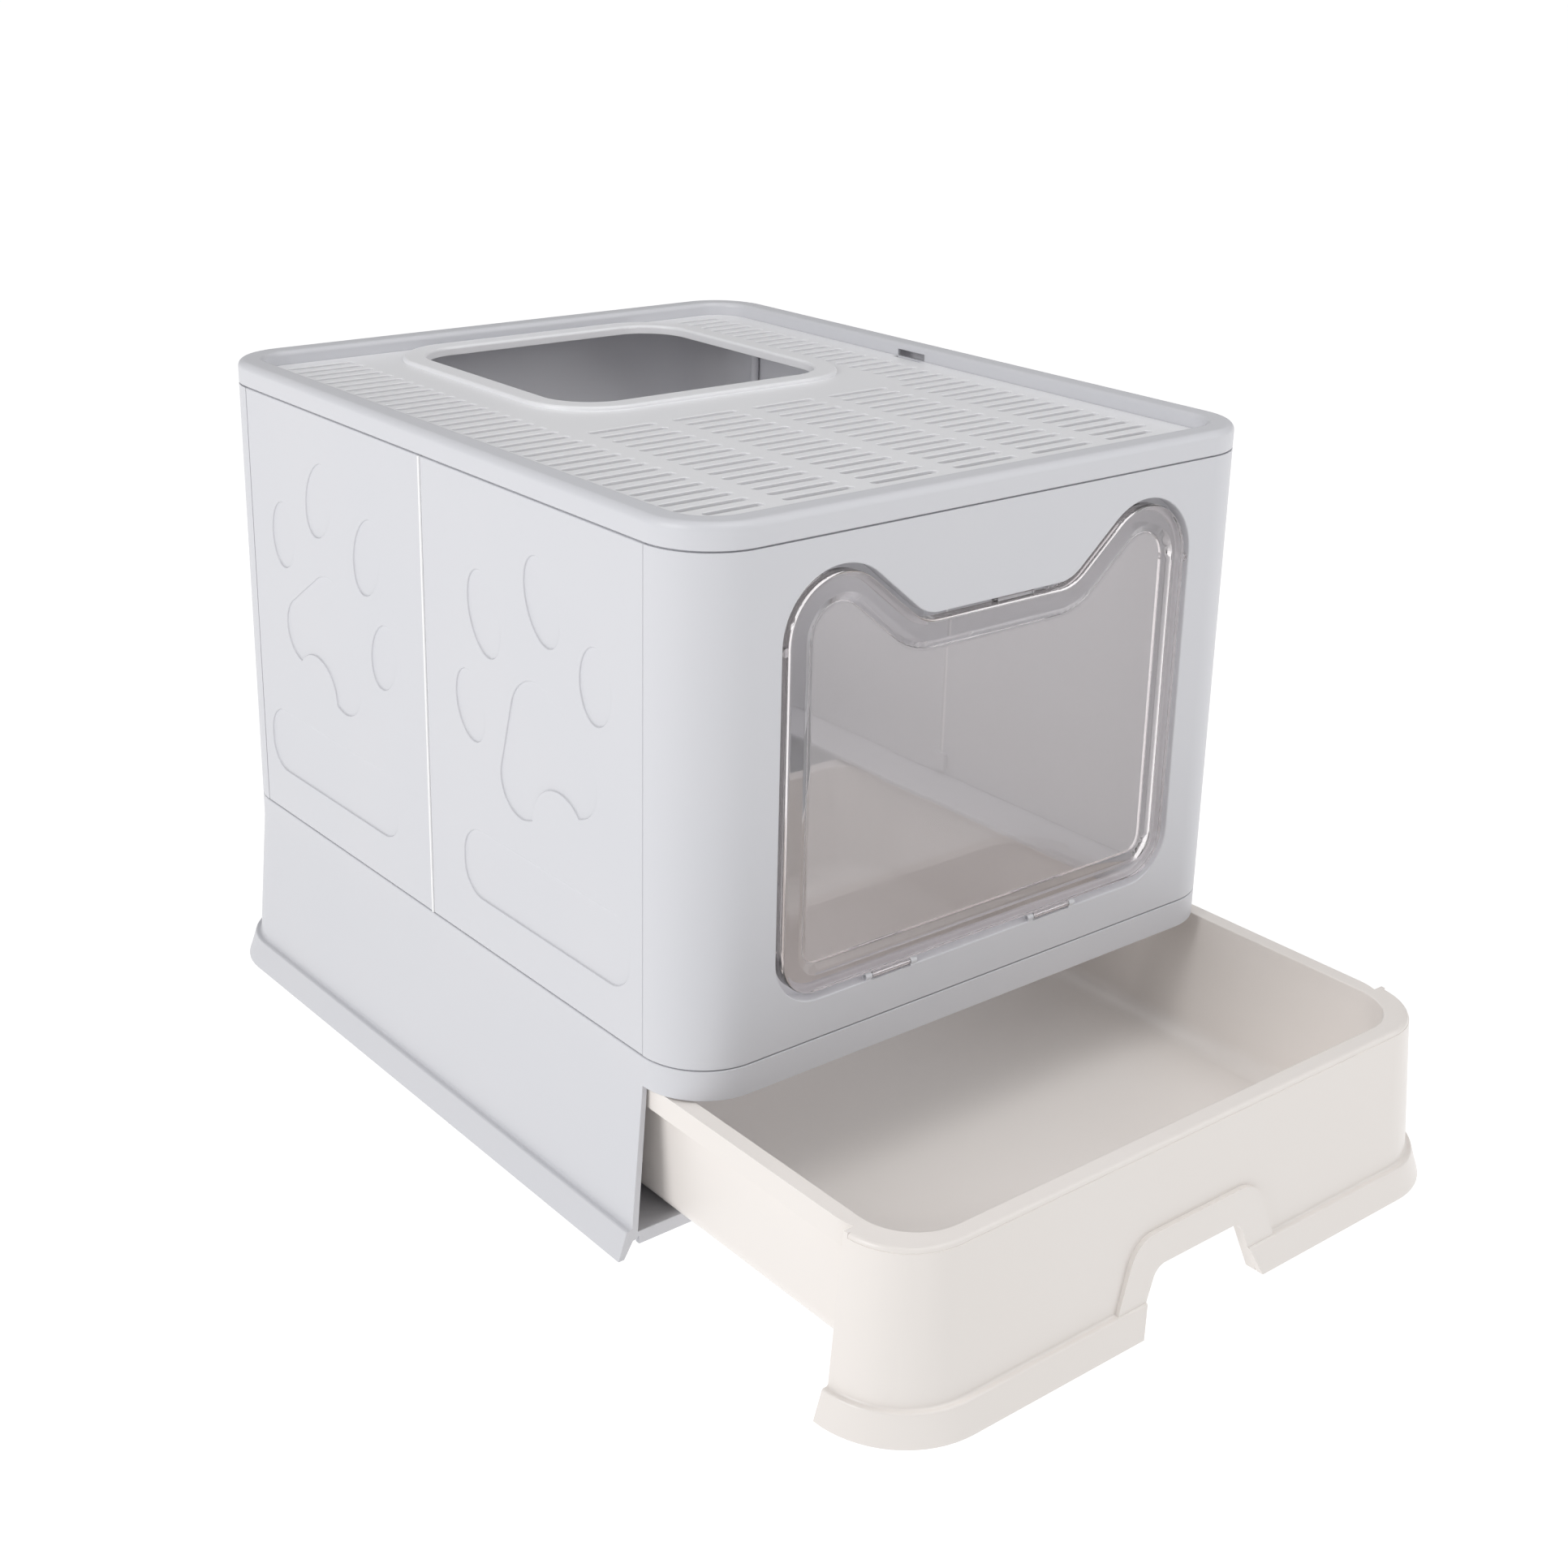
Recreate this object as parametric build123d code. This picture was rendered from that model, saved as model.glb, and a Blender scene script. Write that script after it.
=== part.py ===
from build123d import *
from math import cos, radians, sin
import os

# Drawer litter box: tray base, pull-out drawer, folding wall ring, lid with slotted deck, swing door.
# Millimetres. Origin at the middle of the footprint on the floor, front towards -Y, up is +Z.

# ---------------------------------------------------------------- overall sizes
HALF_W = 190.0          # half width over the flat side walls
HALF_D = 234.0          # half depth over the front and back walls
CORNER_R = 36.5         # outside radius of the four upright corners
WALL = 3.0              # wall thickness of base, walls and lid
SEAM_Y = HALF_D - CORNER_R  # where the rounded corner meets the flat side wall
SEAM_GAP = 0.4          # gap between neighbouring wall panels
FIT = 0.3               # gap between pieces that lift or slide apart
LIP_T = 1.4             # thickness of the overlapping lips on base and lid
PRESS = 0.03            # radial clearance of a pin in the piece that holds it
RUN = 0.1               # radial clearance of a pin in the piece that turns on it

# ---------------------------------------------------------------- heights
BASE_TOP = 110.0        # seam between base and wall ring
BRIDGE_LOW = 94.0       # underside of the band over the drawer mouth
WALL_LOW = 110.8        # lower edge of the visible wall panels
WALL_HIGH = 367.2       # upper edge of the visible wall panels
LID_LOW = 368.0         # lower edge of the lid lip
LID_UNDER = 369.8       # underside of the lid and of its deck
CREST = 381.0           # top of the rounded lid rim
TONGUE_DROP = 6.5       # depth of the wall tongue inside the base lip
TONGUE_RISE = 2.3       # height of the wall tongue inside the lid lip

# ---------------------------------------------------------------- base
SKIRT_FLARE = 6.5       # how far the skirt spreads from bridge to foot
SKIRT_LOW = 16.0        # height where the skirt meets the foot flange
FLANGE_H = 15.5         # height of the foot flange
FLANGE_TOP_OUT = 9.5    # spread of the flange at its top edge
FLANGE_OUT = 14.5       # spread of the flange at the floor
STEP_R = 1.3            # rounding of the step between skirt and flange
FLOOR_TOP = 13.2        # top of the base floor
FLOOR_T = 3.0
FLOOR_LIP_LOW = 5.8     # lower edge of the turned-down front edge of the floor
RAIL_X = 120.0          # slide rails on the base floor
RAIL_W = 8.0
LEDGE_TOP = 104.0       # ledge height at the wall
LEDGE_IN = 27.0         # reach of the ledge from the outside face
LEDGE_FALL = 6.0        # how far the ledge slopes down

# ---------------------------------------------------------------- drawer
TRAVEL = 150.0          # how far the drawer stands out in the rest pose
RIM_TOP = BRIDGE_LOW - 1.0
RIM_T = 2.5
RIM_HALF_W = 186.0      # half width over the drawer rim behind its front
RIM_R = 30.0            # rear corner radius of that rim
LIP_H = 12.5            # height of the turned-down rim lip
TUB_HALF_W = 179.5      # half width of the tub wall outside, at the rim
TUB_FRONT = 226.5       # front of the tub wall, drawer shut
TUB_REAR = 222.5        # rear of the tub wall, drawer shut
TUB_R = 32.5
TUB_DRAFT = 5.0         # how far the tub walls lean in towards the bottom
TUB_LOW = FLOOR_TOP + 1.8
TUB_BOTTOM_R = 14.0
TUB_T = 2.5
FASCIA_T = 2.8
FASCIA_END = SEAM_Y + 0.6
GROUND_GAP = 0.5        # air under the drawer front
ARCH_LOW = 46.0         # half width of the finger opening at the floor
ARCH_HIGH = 30.0        # half width of the finger opening at its top
ARCH_H = 32.0
ARCH_BAND = 18.0        # width of the raised band round the finger opening
ARCH_STEP = 3.0         # how far that band stands proud

# ---------------------------------------------------------------- folding corners and middle folds
HINGE_IN = 6.0          # corner hinge axis, from the outside face
HINGE_Y = 197.0
BARREL_R = 2.6
PIN_R = 1.2
HINGE_LOW = 120.0
HINGE_HIGH = 360.0
HINGE_SEGMENTS = 5
FREE_RUN = 0.2          # clearance of the fourth corner, where the fold closes on itself
FOLD_GAP = 1.1          # half the gap between two half walls
STRIP_HALF = 0.8        # half width of the living-hinge strip
STRIP_T = 2.4
STRIP_BEAD_R = 0.75     # round bead of the strip, on the fold axis
CLIP_W = 12.0
CLIP_T = 3.0
CLIP_LOW = 108.0
CLIP_HIGH = 120.0
BACK_PLAY = 0.2         # extra room for the back wall, which swings out a little as the fold starts

# ---------------------------------------------------------------- debossed ornament, as |y| and z
DEBOSS = 1.0
TOES = ((45.0, 245.0, 13.5, 19.5, 18.0), (60.0, 298.0, 14.5, 23.0, 19.0),
        (113.5, 318.0, 14.5, 23.0, 21.0), (159.0, 288.0, 13.5, 19.5, 2.0))
PAD_AT = (112.0, 238.0)
PAD_TILT = 20.0
PAD_CROWN_R = 24.0
PAD_CROWN_Z = 14.0
PAD_LOBE_R = 19.0
PAD_LOBE_X = 26.0
PAD_LOBE_Z = -13.0
PAD_NOTCH_R = 24.0
PAD_NOTCH_Z = -41.0
BAR_NEAR = 35.0
BAR_FAR = 187.0
BAR_LOW = 138.0
BAR_HIGH = 177.0
BAR_R = 17.0

# ---------------------------------------------------------------- door
DOOR_HALF_W = 138.0     # door recess outline on the front face
DOOR_LOW = 132.0
DOOR_BOTTOM_R = 27.0
EAR_X = 103.0
EAR_Z = 317.0
EAR_R = 35.0
EAR_SLOPE = 40.0        # fall of the line between an ear and the valley
VALLEY_Z = 317.5
VALLEY_R = 22.0
DOOR_GAP = 3.5          # gap between the recess edge and the door ring
CREST_IN = 13.5         # inner edge of the flat crest of the door ring
RING_IN = 20.0          # foot of the ring's inner slope, where the pane begins
RING_PROUD = 0.5        # how far the ring stands in front of the wall
RING_DEPTH = 7.3
RING_EDGE_R = 1.8
RING_BACK_IN = 18.0     # inner edge of the ring on the back of the door
PANE_BACK = 2.3         # front of the pane behind the front wall's face
PANE_T = 2.0
OPENING_EDGE_R = 0.7    # rounding of the wall's edge round the door
RETURN_T = 2.0
RETURN_DEPTH = 9.3
STOP_W = 7.0
STOP_T = 2.0
DOOR_AXIS_BACK = 1.4    # door hinge axis behind the front face
DOOR_AXIS_Z = 133.6     # in the gap below the flap
DOOR_PIN_R = 0.9
DOOR_BARREL_R = 1.8
KNUCKLES = ((-76.0, -50.0), (37.0, 64.0))
BOSS_W = 4.0
LATCH_AT = 12.0         # middle of the latch bump over the valley
LATCH_W = 26.0
LATCH_WINDOW = (-45.0, 40.0)  # part of the stop lip left out behind the valley
NUB_R = 2.2

# ---------------------------------------------------------------- lid and deck
RIM_W = 15.0            # width of the raised lid rim
RIM_SKIN = 2.5
RIM_OUT_R = 4.0
RIM_IN_R = 3.0
SHELF_IN = 20.0
SHELF_T = 1.5
DECK_TOP = 373.0
DECK_T = 3.0
DECK_EDGE_T = 1.3
SLOT_L = 43.0
SLOT_W = 5.0
COLUMN_PITCH = 55.0
COLUMNS = 6
ROW_PITCH = 11.6
ROWS = 35
FULL_ROWS = 15
FIRST_ROW = -190.0
HOLE_AT = (13.0, 112.5)
HOLE_W = 186.0
HOLE_D = 181.0
HOLE_R = 30.0
HOLE_LIP_W = 14.0
HOLE_LIP_TOP = 375.5
SIDE_SLOT_L = 34.0      # shorter slots between the hole and the right edge
CORNER_SLOT_L = 35.0
SNAP_Y = 30.0
SNAP_L = 24.0
SNAP_H = 4.0


# ================================================================ helpers
def face_at(inset, z):
    """Rounded outline of the body, drawn in from the outside face, at one height."""
    outline = RectangleRounded(2 * (HALF_W - inset), 2 * (HALF_D - inset), CORNER_R - inset)
    return Plane.XY.offset(z) * outline


def block(inset, z_low, z_high):
    """Upright block with the body outline."""
    return extrude(face_at(inset, z_low), z_high - z_low)


def cone(inset_low, z_low, inset_high, z_high):
    """Flared block between two body outlines."""
    return loft([face_at(inset_low, z_low), face_at(inset_high, z_high)], ruled=True)


def bar(x_low, x_high, y_low, y_high, z_low, z_high):
    """Plain box between limits."""
    size = Box(x_high - x_low, y_high - y_low, z_high - z_low)
    return Pos((x_low + x_high) / 2, (y_low + y_high) / 2, (z_low + z_high) / 2) * size


def rod(radius, x, y, z_low, z_high):
    """Upright round rod."""
    return Pos(x, y, (z_low + z_high) / 2) * Cylinder(radius, z_high - z_low)


def cross_rod(radius, x_low, x_high, y, z):
    """Round rod lying along X."""
    return Pos((x_low + x_high) / 2, y, z) * (Rot(0, 90, 0) * Cylinder(radius, x_high - x_low))


def half_space(y_low, y_high, z_low=-50.0, z_high=500.0):
    """Everything between two Y limits."""
    return bar(-400, 400, y_low, y_high, z_low, z_high)


def tidy(shape, name):
    """One clean solid with its name."""
    solids = shape.solids()
    keep = max(solids, key=lambda s: s.volume)
    keep.label = name
    return keep


def write(shape, name):
    export_step(tidy(shape, name), f"parts/{name}.step")


# ================================================================ base
def skirt(shell):
    """Flared skirt with its foot flange, drawn in by the shell thickness."""
    upper = cone(shell - SKIRT_FLARE, SKIRT_LOW - 3.0, shell, BRIDGE_LOW)
    if shell > 0:
        foot = cone(shell - FLANGE_OUT, -1.0, shell - FLANGE_TOP_OUT + 1.0, 9.0)
        upper = cone(shell - SKIRT_FLARE, -1.0, shell, BRIDGE_LOW)
    else:
        foot = cone(-FLANGE_OUT, 0.0, -FLANGE_TOP_OUT, FLANGE_H)
    body = upper + foot
    if shell == 0:
        body = fillet(body.edges().filter_by_position(Axis.Z, FLANGE_H - 0.1, FLANGE_H + 0.1), STEP_R)
    return body


def make_base():
    shell = skirt(0.0) - skirt(WALL)
    floor = block(-SKIRT_FLARE + 1.0, FLOOR_TOP - FLOOR_T, FLOOR_TOP)
    body = shell + floor
    body -= half_space(-400, -SEAM_Y, -10, BRIDGE_LOW)
    front_edge = bar(-HALF_W - 2, HALF_W + 2, -SEAM_Y, -SEAM_Y + WALL, FLOOR_LIP_LOW, FLOOR_TOP)
    body += front_edge
    for side in (-1, 1):
        x = side * RAIL_X
        body += bar(x - RAIL_W / 2, x + RAIL_W / 2, -SEAM_Y + WALL, SEAM_Y, FLOOR_TOP, TUB_LOW - FIT)
    band = block(0, BRIDGE_LOW, LEDGE_TOP) - block(WALL, BRIDGE_LOW, LEDGE_TOP)
    lip = block(0, LEDGE_TOP, BASE_TOP) - block(LIP_T, LEDGE_TOP, BASE_TOP)
    body += band + lip
    low = LEDGE_TOP - LEDGE_FALL
    under = cone(LEDGE_IN, low - WALL, WALL - 0.2, LEDGE_TOP - WALL)
    under += block(WALL - 0.2, LEDGE_TOP - WALL, LEDGE_TOP)
    above = cone(LEDGE_IN, low, WALL - 0.2, LEDGE_TOP)
    body += under - above - block(LEDGE_IN, low - WALL - 1, LEDGE_TOP + 1)
    return body


# ================================================================ drawer
def tub_block(inset, z_low, z_high, bottom_r):
    """Drafted tub outline with a rounded bottom edge."""
    centre = (TUB_REAR - TUB_FRONT) / 2
    half_d = (TUB_REAR + TUB_FRONT) / 2 - inset
    lean = TUB_DRAFT
    small = Pos(0, centre, z_low) * RectangleRounded(2 * (TUB_HALF_W - inset - lean), 2 * (half_d - lean),
                                                     TUB_R - inset - lean)
    large = Pos(0, centre, z_high) * RectangleRounded(2 * (TUB_HALF_W - inset), 2 * half_d, TUB_R - inset)
    shape = loft([small, large], ruled=True)
    return fillet(shape.faces().sort_by(Axis.Z)[0].edges(), bottom_r)


def arch_outline(grow):
    """Finger opening in the drawer front, widened all round."""
    low = ARCH_LOW + grow
    high = ARCH_HIGH + grow * 0.75
    top = ARCH_H + grow
    shape = Polygon((-low, -6), (low, -6), (high, top), (-high, top), align=None)
    upper = shape.vertices().sort_by(Axis.Y)[-2:]
    return fillet(upper, 9.0 + grow * 0.5)


def arch_cut(grow):
    """Finger opening as a block through the drawer front."""
    return extrude(Plane.XZ.offset(FASCIA_END) * arch_outline(grow), 80)


def make_drawer():
    front = half_space(-400, -FASCIA_END, -10, RIM_TOP)
    fascia = (skirt(0.0) & front) - skirt(FASCIA_T)
    proud = cone(-SKIRT_FLARE - ARCH_STEP, SKIRT_LOW - 16, -ARCH_STEP, BRIDGE_LOW) & front
    band = (proud & arch_cut(ARCH_BAND)) - cone(FASCIA_T - SKIRT_FLARE, -1.0, FASCIA_T, BRIDGE_LOW)
    fascia += band
    fascia -= arch_cut(0.0)
    fascia -= half_space(-400, 400, -10, GROUND_GAP)
    cap = block(0, RIM_TOP - RIM_T, RIM_TOP)
    cap = fillet(cap.edges().filter_by_position(Axis.Z, RIM_TOP - 0.1, RIM_TOP + 0.1), RIM_T - 0.2)
    top = cap & front
    fascia &= cap + block(-30, -10, RIM_TOP - RIM_T)
    ends = bar(TUB_HALF_W - 3, 220, -FASCIA_END - RIM_T, -FASCIA_END, TUB_LOW + 8, RIM_TOP)
    ends = (ends + mirror(ends, about=Plane.YZ)) & skirt(0.0)
    rim_front = -SEAM_Y - 20
    rim_rear = TUB_REAR + RIM_HALF_W - TUB_HALF_W
    centre = (rim_front + rim_rear) / 2
    length = rim_rear - rim_front
    outline = Pos(0, centre, RIM_TOP - LIP_H) * RectangleRounded(2 * RIM_HALF_W, length, RIM_R)
    inner = RectangleRounded(2 * (RIM_HALF_W - RIM_T), length - 2 * RIM_T, RIM_R - RIM_T)
    inner = Pos(0, centre, RIM_TOP - LIP_H) * inner
    rim = extrude(outline, LIP_H) - extrude(inner, LIP_H - RIM_T)
    rim -= half_space(-400, -FASCIA_END, -10, RIM_TOP + 1)
    body = fascia + top + ends + rim + tub_block(0.0, TUB_LOW, RIM_TOP, TUB_BOTTOM_R)
    body -= tub_block(TUB_T, TUB_LOW + TUB_T, RIM_TOP + 0.01, TUB_BOTTOM_R - TUB_T)
    return Pos(0, -TRAVEL, 0) * body


# ================================================================ wall ring
def wall_ring(play=0.0):
    """Whole wall ring with its tongues, before it is parted into panels."""
    tongue = LIP_T + FIT + play
    ring = block(0, WALL_LOW, WALL_HIGH) - block(WALL, WALL_LOW, WALL_HIGH)
    ring += block(tongue, WALL_LOW - TONGUE_DROP, WALL_LOW) - block(WALL, WALL_LOW - TONGUE_DROP, WALL_LOW)
    top = WALL_HIGH + TONGUE_RISE
    ring += block(tongue, WALL_HIGH, top) - block(WALL, WALL_HIGH, top)
    return ring


def knuckles(side_x, side_y, towards, first, clearance):
    """Hinge barrels on one side of an upright corner fold, every second one."""
    x = side_x * (HALF_W - HINGE_IN)
    y = side_y * HINGE_Y
    pitch = (HINGE_HIGH - HINGE_LOW) / HINGE_SEGMENTS
    pieces = Part()
    wall_x = side_x * (HALF_W - WALL)
    x_low = min(x, wall_x)
    x_high = max(x, wall_x)
    y_low = min(y + towards * 0.8, y + towards * 4.0)
    y_high = max(y + towards * 0.8, y + towards * 4.0)
    for index in range(first, HINGE_SEGMENTS, 2):
        z_low = HINGE_LOW + index * pitch + FIT / 2
        z_high = HINGE_LOW + (index + 1) * pitch - FIT / 2
        web = bar(x_low, x_high, y_low, y_high, z_low, z_high)
        pieces += web + rod(BARREL_R, x, y, z_low, z_high)
    return pieces - rod(PIN_R + clearance, x, y, HINGE_LOW - 5, HINGE_HIGH + 5)


def paw():
    """Paw and bar outlines on a side wall, drawn for the half beyond the middle fold (y above 0)."""
    shapes = Sketch()
    for y, z, half_w, half_h, tilt in TOES:
        shapes += Pos(y, z) * Rot(0, 0, tilt) * Ellipse(half_w, half_h)
    crown = Pos(0, PAD_CROWN_Z) * Circle(PAD_CROWN_R)
    lobe_a = Pos(PAD_LOBE_X, PAD_LOBE_Z) * Circle(PAD_LOBE_R)
    lobe_b = Pos(-PAD_LOBE_X, PAD_LOBE_Z) * Circle(PAD_LOBE_R)
    pad = make_hull(crown.edges() + lobe_a.edges() + lobe_b.edges())
    pad -= Pos(0, PAD_NOTCH_Z) * Circle(PAD_NOTCH_R)
    shapes += Pos(PAD_AT[0], PAD_AT[1]) * Rot(0, 0, PAD_TILT) * pad
    width = BAR_FAR - BAR_NEAR
    height = BAR_HIGH - BAR_LOW
    band = RectangleRounded(width, height, BAR_R)
    shapes += Pos((BAR_NEAR + BAR_FAR) / 2, (BAR_LOW + BAR_HIGH) / 2) * band
    return shapes


def ornament(side_x, side_y):
    """The debossed shapes of one half side wall as cutting blocks."""
    plane = Plane(origin=(HALF_W - DEBOSS, 0, 0), x_dir=(0, 1, 0), z_dir=(1, 0, 0))
    cut = extrude(plane * paw(), DEBOSS + 2)
    if side_y < 0:
        cut = mirror(cut, about=Plane.XZ)
    if side_x < 0:
        cut = mirror(cut, about=Plane.YZ)
    return cut


def make_half_wall(side_x, side_y):
    """One half of a side wall, front (side_y -1) or rear (side_y +1)."""
    near = FOLD_GAP
    far = SEAM_Y - SEAM_GAP / 2
    limits = (near, far) if side_y > 0 else (-far, -near)
    zone = bar(0, 400, limits[0], limits[1], 0, 500)
    if side_x < 0:
        zone = bar(-400, 0, limits[0], limits[1], 0, 500)
    wall = wall_ring() & zone
    wall -= ornament(side_x, side_y)
    free = side_x > 0 and side_y > 0
    wall += knuckles(side_x, side_y, -side_y, 1, FREE_RUN if free else RUN)
    return wall


def make_back():
    wall = wall_ring(BACK_PLAY) & half_space(SEAM_Y + SEAM_GAP / 2, 400)
    for side in (-1, 1):
        wall += knuckles(side, 1, 1, 0, PRESS)
    return wall


# ================================================================ door and front wall
def door_outline(inset):
    """Cat-ear outline of the door recess on the front wall, drawn in by the inset."""
    side = DOOR_HALF_W - inset
    low = DOOR_LOW + inset
    corner = DOOR_BOTTOM_R - inset
    corner_x = DOOR_HALF_W - DOOR_BOTTOM_R
    corner_z = DOOR_LOW + DOOR_BOTTOM_R
    ear = EAR_R - inset
    turn = radians(90 + EAR_SLOPE)
    lean = radians(EAR_SLOPE)
    ear_end = (EAR_X + ear * cos(turn), EAR_Z + ear * sin(turn))
    foot_x = EAR_X + EAR_R * cos(turn) - (EAR_Z + EAR_R * sin(turn) - VALLEY_Z) / sin(lean) * cos(lean)
    centre_x = foot_x - VALLEY_R * sin(lean) / (1 + cos(lean))
    centre_z = VALLEY_Z + VALLEY_R
    hollow = VALLEY_R + inset
    slope_end = (centre_x + hollow * sin(lean), centre_z - hollow * cos(lean))
    hollow_mid = (centre_x + hollow * sin(lean / 2), centre_z - hollow * cos(lean / 2))
    valley = (centre_x, centre_z - hollow)
    ear_mid = (EAR_X + ear * cos(turn / 2), EAR_Z + ear * sin(turn / 2))
    arc = 0.7071067811865476 * corner
    right = [
        Line((0, low), (corner_x, low)),
        ThreePointArc((corner_x, low), (corner_x + arc, corner_z - arc), (side, corner_z)),
        Line((side, corner_z), (side, EAR_Z)),
        ThreePointArc((side, EAR_Z), ear_mid, ear_end),
        Line(ear_end, slope_end),
        ThreePointArc(slope_end, hollow_mid, valley),
        Line(valley, (0, valley[1])),
    ]
    left = [mirror(edge, about=Plane.YZ) for edge in right]
    return make_face(Curve() + right + left)


def door_block(inset, y_front, y_back):
    """Cat-ear block between two depths."""
    return extrude(Plane.XZ.offset(-y_front) * door_outline(inset), y_front - y_back)


def make_front():
    face = -HALF_D
    wall = wall_ring() & half_space(-400, -SEAM_Y - SEAM_GAP / 2)
    wall += door_block(-RETURN_T, face, face + RETURN_DEPTH)
    wall -= door_block(0.0, face - 1, face + RETURN_DEPTH - STOP_T)
    plane = wall.faces().filter_by(Axis.Y).sort_by(Axis.Y)[0]
    wall = fillet(plane.inner_wires()[0].edges(), OPENING_EDGE_R)
    wall -= door_block(STOP_W, face - 1, face + RETURN_DEPTH + 1)
    window_low = VALLEY_Z - STOP_W - 1
    window_y = face + RETURN_DEPTH - STOP_T - 0.1
    wall -= bar(LATCH_WINDOW[0], LATCH_WINDOW[1], window_y, face + RETURN_DEPTH + 1, window_low, VALLEY_Z)
    axis_y = face + DOOR_AXIS_BACK
    for x_low, x_high in KNUCKLES:
        for x in (x_low - BOSS_W, x_high):
            wall += bar(x, x + BOSS_W, face + 0.2, face + 3.2, DOOR_LOW - 0.5, DOOR_AXIS_Z)
            wall += cross_rod(DOOR_BARREL_R, x, x + BOSS_W, axis_y, DOOR_AXIS_Z)
        low = DOOR_AXIS_Z - DOOR_BARREL_R - 0.5
        wall -= bar(x_low, x_high, face - 1, face + 3.8, low, DOOR_LOW + 1)
        wall -= cross_rod(DOOR_PIN_R + PRESS, x_low - BOSS_W - 1, x_high + BOSS_W + 1, axis_y, DOOR_AXIS_Z)
    for side in (-1, 1):
        wall += knuckles(side, -1, -1, 0, PRESS)
    return wall


def make_door():
    """Clear flap in one moulding: flat ring, slope down to the pane, knuckles and side nubs."""
    front = -HALF_D - RING_PROUD
    back = front + RING_DEPTH
    pane = -HALF_D + PANE_BACK
    door = door_block(DOOR_GAP, front, back)
    door = fillet(door.edges().group_by(Axis.Y)[0], RING_EDGE_R)
    over = 0.4
    slope = (RING_IN - CREST_IN) / (pane - front)
    mouth = Plane.XZ.offset(over - front) * door_outline(CREST_IN - over * slope)
    foot = Plane.XZ.offset(-pane) * door_outline(RING_IN)
    door -= loft([mouth, foot], ruled=True)
    crest = door.faces().filter_by(Axis.Y).sort_by(Axis.Y)[0]
    door = fillet(crest.inner_wires()[0].edges(), RING_EDGE_R)
    door -= door_block(RING_BACK_IN, pane + PANE_T, back + 1)
    axis_y = -HALF_D + DOOR_AXIS_BACK
    for x_low, x_high in KNUCKLES:
        for x in (x_low - BOSS_W - FIT, x_high - FIT):
            door -= cross_rod(DOOR_BARREL_R + FIT, x, x + BOSS_W + 2 * FIT, axis_y, DOOR_AXIS_Z)
        near = x_low + FIT
        far = x_high - FIT
        door += cross_rod(DOOR_BARREL_R, near, far, axis_y, DOOR_AXIS_Z)
        door += bar(near, far, axis_y - 1.4, axis_y + 1.8, DOOR_AXIS_Z, DOOR_LOW + DOOR_GAP + 1)
        door -= cross_rod(DOOR_PIN_R + RUN, x_low - 1, x_high + 1, axis_y, DOOR_AXIS_Z)
    for side in (-1, 1):
        nub = Rot(90, 0, 0) * Cylinder(NUB_R, 4)
        door += Pos(side * (DOOR_HALF_W - DOOR_GAP + 0.8), front + 3.2, EAR_Z - 2) * nub
    return door


def make_latch():
    """Catch bump in the dark gap over the valley of the door."""
    top = VALLEY_Z - DOOR_GAP
    low_x = LATCH_AT - LATCH_W / 2
    bump = bar(low_x, low_x + LATCH_W, -HALF_D + 1.6, -HALF_D + 6.0, top, top + DOOR_GAP - FIT)
    return fillet(bump.edges().filter_by(Axis.X).group_by(Axis.Z)[-1], 1.2)


def make_door_pins():
    pins = []
    for x_low, x_high in KNUCKLES:
        rod_x = cross_rod(DOOR_PIN_R, x_low - BOSS_W, x_high + BOSS_W, -HALF_D + DOOR_AXIS_BACK, DOOR_AXIS_Z)
        pins.append(rod_x.solid())
    return Compound(label="door_hinge_pins", children=pins)


# ================================================================ small parts of the folds
def make_corner_pin(side_x, side_y):
    return rod(PIN_R, side_x * (HALF_W - HINGE_IN), side_y * HINGE_Y, HINGE_LOW - 1.5, HINGE_HIGH + 1.5)


def make_strip(side_x):
    """Living-hinge strip of a middle fold, with its round bead on the fold axis."""
    x = side_x * (HALF_W - STRIP_T / 2)
    web = Pos(x, 0, (WALL_LOW + WALL_HIGH) / 2) * Box(STRIP_T, 2 * STRIP_HALF, WALL_HIGH - WALL_LOW)
    return web + rod(STRIP_BEAD_R, side_x * HALF_W, 0, WALL_LOW, WALL_HIGH)


def make_clip(side_x):
    """Clip at the foot of a middle fold, held by the rear half and lying over the front half."""
    inner = HALF_W - WALL
    clip = bar(inner - CLIP_T, inner, -CLIP_W / 2, CLIP_W / 2, CLIP_LOW, CLIP_HIGH)
    clip = fillet(clip.edges().filter_by(Axis.X), 1.8)
    clip -= bar(inner - FIT, inner + 1, -CLIP_W, FOLD_GAP - 0.1, CLIP_LOW - 1, CLIP_HIGH + 1)
    if side_x < 0:
        clip = mirror(clip, about=Plane.YZ)
    return clip


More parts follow.
